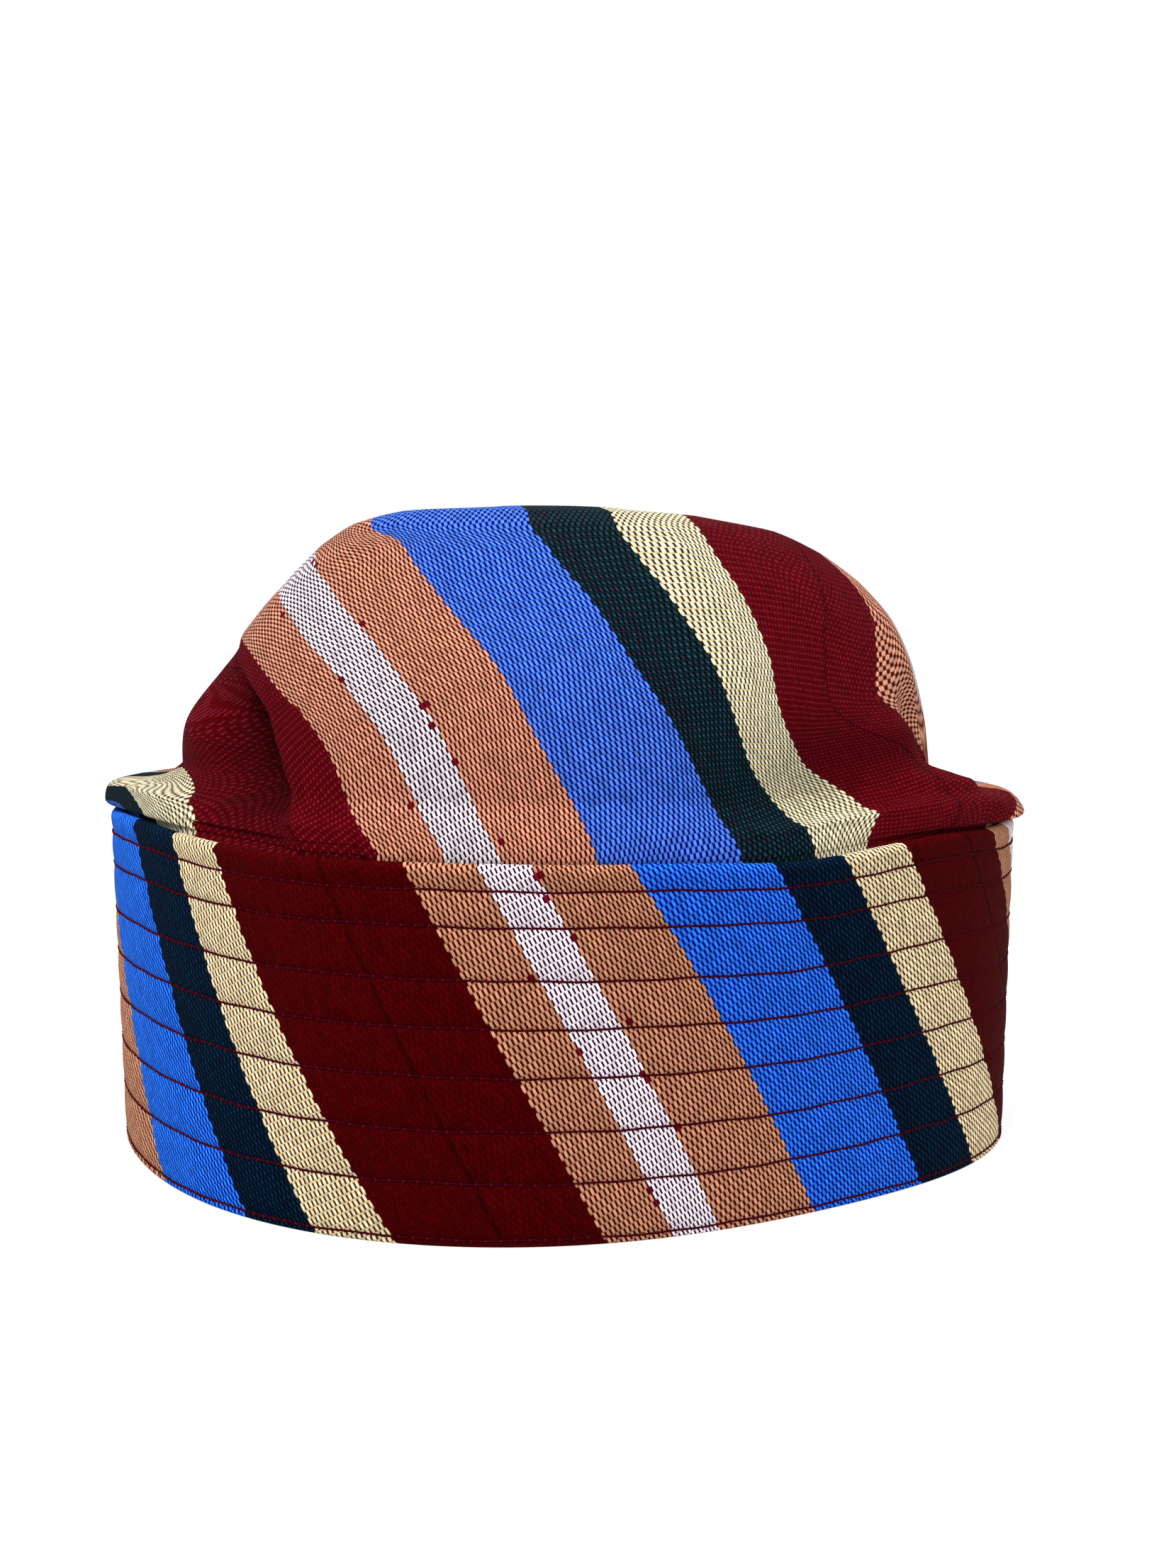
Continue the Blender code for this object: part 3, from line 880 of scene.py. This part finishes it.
def bead_points(bead, angle, height, row):
    """The points round the thread at one bead of a stitch."""
    turn = math.radians(angle)
    sway = sum(math.sin(sway.count * turn + sway.shift * row) for sway in STITCH_SWAYS)
    lifted = height * edge_height(angle) / BAND_HEIGHT + STITCH_SWAY * sway
    radius = outer_radius(angle, height) - PILLOW_RISE + THREAD_OUT * bead.radius
    middle = on_circle(radius, angle, lifted)
    out, up = np.array([math.cos(turn), math.sin(turn), 0.0]), np.array([0.0, 0.0, 1.0])
    spins = [2 * math.pi * side / STITCH_SIDES for side in range(STITCH_SIDES)]
    return [middle + bead.radius * (math.cos(spin) * out + math.sin(spin) * up) for spin in spins]


def make_stitches(material):
    """Rows of stitches round the band. Each stitch is a short tube with a knot at its start."""
    points, faces, weave = [], [], []
    fine = np.linspace(0, 360, TRACK_STEPS + 1)
    for row, share in enumerate(QUILT_ROWS):
        height = BAND_HEIGHT * (1 - share)
        track = on_circle(outer_radius(fine, height), fine, 0.0)
        travelled = np.concatenate([[0.0], np.cumsum(np.linalg.norm(np.diff(track, axis=0), axis=-1))])
        count = round(travelled[-1] / STITCH_LENGTH)
        for i in range(count):
            first = len(points)
            for bead in STITCH_BEADS:
                angle = np.interp(travelled[-1] * (i + bead.along) / count, travelled, fine)
                points += bead_points(bead, angle, height, row)
            for ring in range(len(STITCH_BEADS) - 1):
                near, far = first + ring * STITCH_SIDES, first + (ring + 1) * STITCH_SIDES
                low, high = STITCH_BEADS[ring].along, STITCH_BEADS[ring + 1].along
                for side in range(STITCH_SIDES):
                    following = (side + 1) % STITCH_SIDES
                    faces.append((near + side, far + side, far + following, near + following))
                    weave += [(low, row), (high, row), (high, row), (low, row)]
            last = first + (len(STITCH_BEADS) - 1) * STITCH_SIDES
            faces.append(tuple(range(first, first + STITCH_SIDES)))
            faces.append(tuple(reversed(range(last, last + STITCH_SIDES))))
            weave += [(0.0, row)] * STITCH_SIDES + [(1.0, row)] * STITCH_SIDES
    return new_piece("band_stitches", np.array(points), faces, weave, material)


class Graph:
    """Short ways to add nodes to a material."""

    def __init__(self, name):
        self.material = bpy.data.materials.new(name)
        self.material.use_nodes = True
        self.tree = self.material.node_tree
        self.shader = self.tree.nodes["Principled BSDF"]

    def node(self, kind, *values, **settings):
        made = self.tree.nodes.new(kind)
        for key, value in settings.items():
            setattr(made, key, value)
        for socket, value in zip(made.inputs, values):
            self.feed(socket, value)
        return made

    def feed(self, socket, value):
        if isinstance(value, bpy.types.NodeSocket):
            self.tree.links.new(value, socket)
        else:
            socket.default_value = value

    def math(self, operation, *values):
        return self.node("ShaderNodeMath", *values, operation=operation).outputs[0]

    def blend(self, low, high, share):
        return self.math("MULTIPLY_ADD", self.math("SUBTRACT", high, low), share, low)

    def off_middle(self, value):
        """How far a value is from halfway between two whole numbers."""
        return self.math("ABSOLUTE", self.math("SUBTRACT", self.math("FRACT", value), 0.5))

    def soft_rise(self, value, low, high):
        """Rises from 0 to 1 while the value goes from low to high."""
        made = self.node("ShaderNodeMapRange", value, low, high, interpolation_type="SMOOTHSTEP")
        return made.outputs[0]

    def attribute(self, name):
        return self.node("ShaderNodeAttribute", attribute_name=name).outputs["Fac"]

    def mix(self, share, low, high):
        made = self.node("ShaderNodeMix", data_type="RGBA")
        self.feed(made.inputs["Factor"], share)
        self.feed(made.inputs["A"], low)
        self.feed(made.inputs["B"], high)
        return made.outputs["Result"]

    def tint(self, colour, share):
        made = self.node("ShaderNodeVectorMath", operation="SCALE")
        self.feed(made.inputs[0], colour)
        self.feed(made.inputs["Scale"], share)
        return made.outputs[0]

    def ramp(self, place, stops):
        made = self.node("ShaderNodeValToRGB", place)
        made.color_ramp.interpolation = "CONSTANT"
        for start in list(stops)[2:]:
            made.color_ramp.elements.new(start)
        for element, (start, colour) in zip(made.color_ramp.elements, stops.items()):
            element.position = start
            element.color = (*colour, 1.0)
        return made.outputs["Color"]

    def steps(self, place, amounts):
        return self.ramp(place, {start: (amount,) * 3 for start, amount in amounts.items()})

    def surface(self, colour, roughness, gloss):
        self.feed(self.shader.inputs["Base Color"], colour)
        self.shader.inputs["Roughness"].default_value = roughness
        self.shader.inputs["Specular IOR Level"].default_value = gloss

    def bump(self, height, strength, distance):
        made = self.node("ShaderNodeBump")
        made.inputs["Strength"].default_value = strength
        made.inputs["Distance"].default_value = distance
        self.feed(made.inputs["Height"], height)
        self.feed(self.shader.inputs["Normal"], made.outputs[0])


def weave_place(graph):
    """Where a point lies in the weave: its column, its row, its strip and the spare columns before it."""
    place = graph.node("ShaderNodeUVMap", uv_map="weave").outputs[0]
    drift = graph.node("ShaderNodeTexNoise", place)
    drift.inputs["Scale"].default_value = DRIFT_SCALE
    drift.inputs["Detail"].default_value = DRIFT_DETAIL
    sway = graph.math("MULTIPLY_ADD", drift.outputs[0], DRIFT_REACH, -DRIFT_REACH / 2)
    parts = graph.node("ShaderNodeSeparateXYZ", place)
    u = graph.math("ADD", parts.outputs[0], sway)
    strip = graph.math("DIVIDE", u, COLUMNS_PER_STRIP)
    stepped = graph.math("MULTIPLY_ADD", graph.math("FLOOR", strip), STRIP_STEP, parts.outputs[1])
    left, right, edge = (graph.attribute(part.name) for part in SPARES)
    is_left = graph.math("LESS_THAN", u, 0.0)
    spare = graph.math("ADD", graph.blend(right, left, is_left), edge)
    return u, graph.math("ADD", stepped, sway), strip, spare


def oval_lattice(graph, u, v, shift):
    """Every second row of ovals: the height, the middle's column, a chance number and the place beside it."""
    column = graph.math("ADD", u, 0.5 * shift)
    row = graph.math("MULTIPLY_ADD", v, 0.5, 0.5 * shift)
    beside, ahead = graph.off_middle(column), graph.off_middle(row)
    wide = graph.math("POWER", graph.math("DIVIDE", beside, OVAL_WIDE), OVAL_SQUARE)
    long = graph.math("POWER", graph.math("DIVIDE", ahead, OVAL_LONG / 2), OVAL_SQUARE)
    height = graph.math("SUBTRACT", 1.0, graph.math("ADD", wide, long))
    whole_column, whole_row = graph.math("FLOOR", column), graph.math("FLOOR", row)
    middle = graph.math("ADD", whole_column, 0.5 - 0.5 * shift)
    place = graph.node("ShaderNodeCombineXYZ", whole_column, whole_row, shift).outputs[0]
    chance = graph.node("ShaderNodeTexWhiteNoise", place).outputs["Value"]
    return height, middle, chance, beside


def top_oval(graph, u, v):
    """The oval that is on top at a point, out of both sets of rows."""
    first, second = oval_lattice(graph, u, v, 0), oval_lattice(graph, u, v, 1)
    is_second = graph.math("GREATER_THAN", second[0], first[0])
    return [graph.blend(low, high, is_second) for low, high in zip(first, second)]


def oval_relief(graph, height, beside):
    """The height of an oval, with its two strands side by side."""
    from_strand = graph.math("DIVIDE", graph.math("SUBTRACT", beside, OVAL_WIDE / 2), OVAL_WIDE * STRAND_WIDE)
    squared = graph.math("SUBTRACT", 1.0, graph.math("MULTIPLY", from_strand, from_strand))
    strand = graph.math("SQRT", graph.math("MAXIMUM", squared, 0.0))
    rounded = graph.math("SQRT", graph.math("MAXIMUM", height, 0.0))
    return graph.math("MULTIPLY", rounded, graph.math("MULTIPLY_ADD", strand, STRAND_DEPTH, 1 - STRAND_DEPTH))


def strip_seam(graph, strip, v):
    """The seam between two strips: how clear of it a point is, and how bright the cloth is there, with painted
    shade in the seam.
    """
    from_seam = graph.math("MULTIPLY", graph.off_middle(graph.math("ADD", strip, 0.5)), COLUMNS_PER_STRIP)
    clear = graph.soft_rise(from_seam, *SEAM_EDGES)
    gathers = graph.math("MULTIPLY_ADD", graph.math("SINE", graph.math("MULTIPLY", v, SEAM_STITCH)), 0.5, 0.5)
    shade = graph.math("MULTIPLY_ADD", gathers, SEAM_GATHER, SEAM_SHADE)
    in_seam = graph.math("SUBTRACT", 1.0, clear)
    return clear, graph.math("SUBTRACT", 1.0, graph.math("MULTIPLY", in_seam, shade))


def woven_cloth(name, tone, is_band):
    """The cloth: staggered ovals, each of two strands, over a darker ground, in the colours of the stripes,
    with painted highlights on the ovals' tops, painted shade between the rows and in the crease, and a painted
    tint for the band's light.
    """
    graph = Graph(name)
    u, v, strip, spare = weave_place(graph)
    height, middle, chance, beside = top_oval(graph, graph.math("ADD", u, spare), v)
    strips = graph.math("DIVIDE", graph.math("SUBTRACT", middle, spare), COLUMNS_PER_STRIP)
    share = graph.math("FRACT", strips)
    relief = oval_relief(graph, height, beside)
    clear, sunk = strip_seam(graph, strip, v)

    # Painted shade between the rows of ovals. It lowers only the relief that picks the colour; the bump doesn't
    # use it.
    row_turn = graph.math("COSINE", graph.math("MULTIPLY", v, 2 * math.pi))
    between_rows = graph.math("MULTIPLY_ADD", row_turn, -0.5, 0.5)
    rib_depth = graph.steps(share, RIBS)
    ribbed = graph.math("SUBTRACT", relief, graph.math("MULTIPLY", between_rows, rib_depth))
    covered = graph.soft_rise(height, 0.0, OVAL_EDGE)
    # The share of an oval's top colour: a painted highlight where the oval stands highest.
    painted_highlight = graph.soft_rise(ribbed, OVAL_HIGHLIGHT_FROM, 1.0)
    if is_band:
        painted_highlight = graph.math("MULTIPLY", painted_highlight, graph.math("MULTIPLY_ADD", rib_depth, -TIGHT_EVEN, 1.0))

    gap, side, top, band_painted_light = (graph.ramp(share, dict(zip(STRIPES, part))) for part in zip(*STRIPES.values()))
    is_maroon = graph.math("LESS_THAN", chance, graph.steps(share, MAROON_FLECKS))
    is_brown = graph.math("LESS_THAN", chance, graph.steps(share, BROWN_FLECKS))
    plain = graph.mix(painted_highlight, side, graph.mix(is_brown, top, (*BROWN_FLECK, 1.0)))
    colour = graph.mix(covered, gap, graph.mix(is_maroon, plain, (*MAROON_FLECK, 1.0)))
    # On the band each yarn is tinted with painted light and shade, for the band's dimmer, bluer light.
    if is_band:
        colour = graph.node("ShaderNodeVectorMath", colour, band_painted_light, operation="MULTIPLY").outputs[0]

    # Painted shade in the crease: the deeper a point lies in it, the darker its colour.
    hollow = graph.math("POWER", graph.attribute("hollow"), HOLLOW_POWER)
    shaded = graph.math("MULTIPLY_ADD", hollow, -HOLLOW_PAINTED_SHADE, 1.0)
    spread = graph.math("FRACT", graph.math("MULTIPLY", chance, CHANCE_STIR))
    uneven = graph.math("MULTIPLY_ADD", spread, TONE_SPREAD * tone, (1 - TONE_SPREAD / 2) * tone)
    level = graph.math("MULTIPLY", graph.math("MULTIPLY", sunk, shaded), uneven)
    graph.surface(graph.tint(colour, level), CLOTH_ROUGHNESS, CLOTH_GLOSS)
    graph.bump(graph.math("ADD", clear, relief), 1.0, RELIEF)
    return graph.material


def stitch_thread():
    graph = Graph("stitch_thread")
    place = graph.node("ShaderNodeUVMap", uv_map="weave").outputs[0]
    along_stitch = graph.node("ShaderNodeSeparateXYZ", place).outputs[0]
    is_knot = graph.math("LESS_THAN", along_stitch, KNOT_END)
    colour = graph.mix(is_knot, (*STITCH_COLOUR, 1.0), (*KNOT_COLOUR, 1.0))
    graph.surface(colour, CLOTH_ROUGHNESS, THREAD_GLOSS)
    fibres = graph.node("ShaderNodeTexNoise")
    fibres.inputs["Scale"].default_value = FIBRE_SCALE
    graph.bump(fibres.outputs[0], FIBRE_STRENGTH, FIBRE_RELIEF)
    return graph.material


def make_camera():
    data = bpy.data.cameras.new("camera")
    data.sensor_width = SENSOR
    data.lens = SENSOR * FOCAL_LENGTH / PHOTO_LONG_SIDE
    camera = bpy.data.objects.new("camera", data)
    place = RING_CENTRE + Vector(CAMERA_PLACE) + Vector((0, 0, BAND_HEIGHT))
    tilt = Matrix.Rotation(math.radians(90 - CAMERA_PITCH), 4, "X")
    roll = Matrix.Rotation(math.radians(CAMERA_ROLL), 4, "Z")
    camera.matrix_world = Matrix.Translation(place) @ tilt @ roll
    bpy.context.scene.collection.objects.link(camera)
    bpy.context.scene.camera = camera


def make_stage():
    """A floor that reaches past the view: dark grey, but glowing white so that it looks pale and even, washes
    out the cap's shadow and lights the cap from below.
    """
    mesh = bpy.data.meshes.new("floor")
    corners = [(FLOOR_REACH * x, FLOOR_REACH * y, 0) for x, y in ((-1, -1), (1, -1), (1, 1), (-1, 1))]
    mesh.from_pydata(corners, [], [(0, 1, 2, 3)])
    graph = Graph("pale_floor")
    graph.surface((FLOOR_SHADE, FLOOR_SHADE, FLOOR_SHADE, 1.0), FLOOR_ROUGHNESS, 0.0)
    graph.shader.inputs["Emission Color"].default_value = (1.0, 1.0, 1.0, 1.0)
    graph.shader.inputs["Emission Strength"].default_value = FLOOR_GLOW
    mesh.materials.append(graph.material)
    floor = bpy.data.objects.new("floor", mesh)
    bpy.context.scene.collection.objects.link(floor)


def light_studio():
    """White all round, with a soft key from the upper left and a fill from the right."""
    scene = bpy.context.scene
    world = bpy.data.worlds.new("soft_white")
    world.use_nodes = True
    world.node_tree.nodes["Background"].inputs["Color"].default_value = (1.0, 1.0, 1.0, 1.0)
    scene.world = world
    scene.view_settings.view_transform = "Standard"
    for sun in SUNS:
        data = bpy.data.lights.new(sun.name, "SUN")
        data.energy = sun.power
        data.angle = math.radians(sun.spread)
        light = bpy.data.objects.new(sun.name, data)
        light.rotation_mode = "QUATERNION"
        light.rotation_quaternion = Vector(sun.place).to_track_quat("Z", "Y")
        scene.collection.objects.link(light)


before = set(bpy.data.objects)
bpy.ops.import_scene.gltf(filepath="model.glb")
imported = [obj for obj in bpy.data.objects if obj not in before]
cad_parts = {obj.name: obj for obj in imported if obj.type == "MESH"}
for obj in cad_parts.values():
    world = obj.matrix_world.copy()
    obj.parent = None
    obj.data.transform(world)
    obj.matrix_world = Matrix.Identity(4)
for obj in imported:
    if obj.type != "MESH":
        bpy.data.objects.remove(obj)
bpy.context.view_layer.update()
RING_CENTRE = ring_centre()

make_camera()
make_stage()
light_studio()

band = make_band(woven_cloth("quilted_cloth", BAND_TONE, True))
crown = make_crown(woven_cloth("striped_cloth", CROWN_TONE, False))
stitches = make_stitches(stitch_thread())
for piece, slot in ((band, "band_cloth"), (crown, "crown_cloth"), (stitches, "band_cloth")):
    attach(piece, "root")
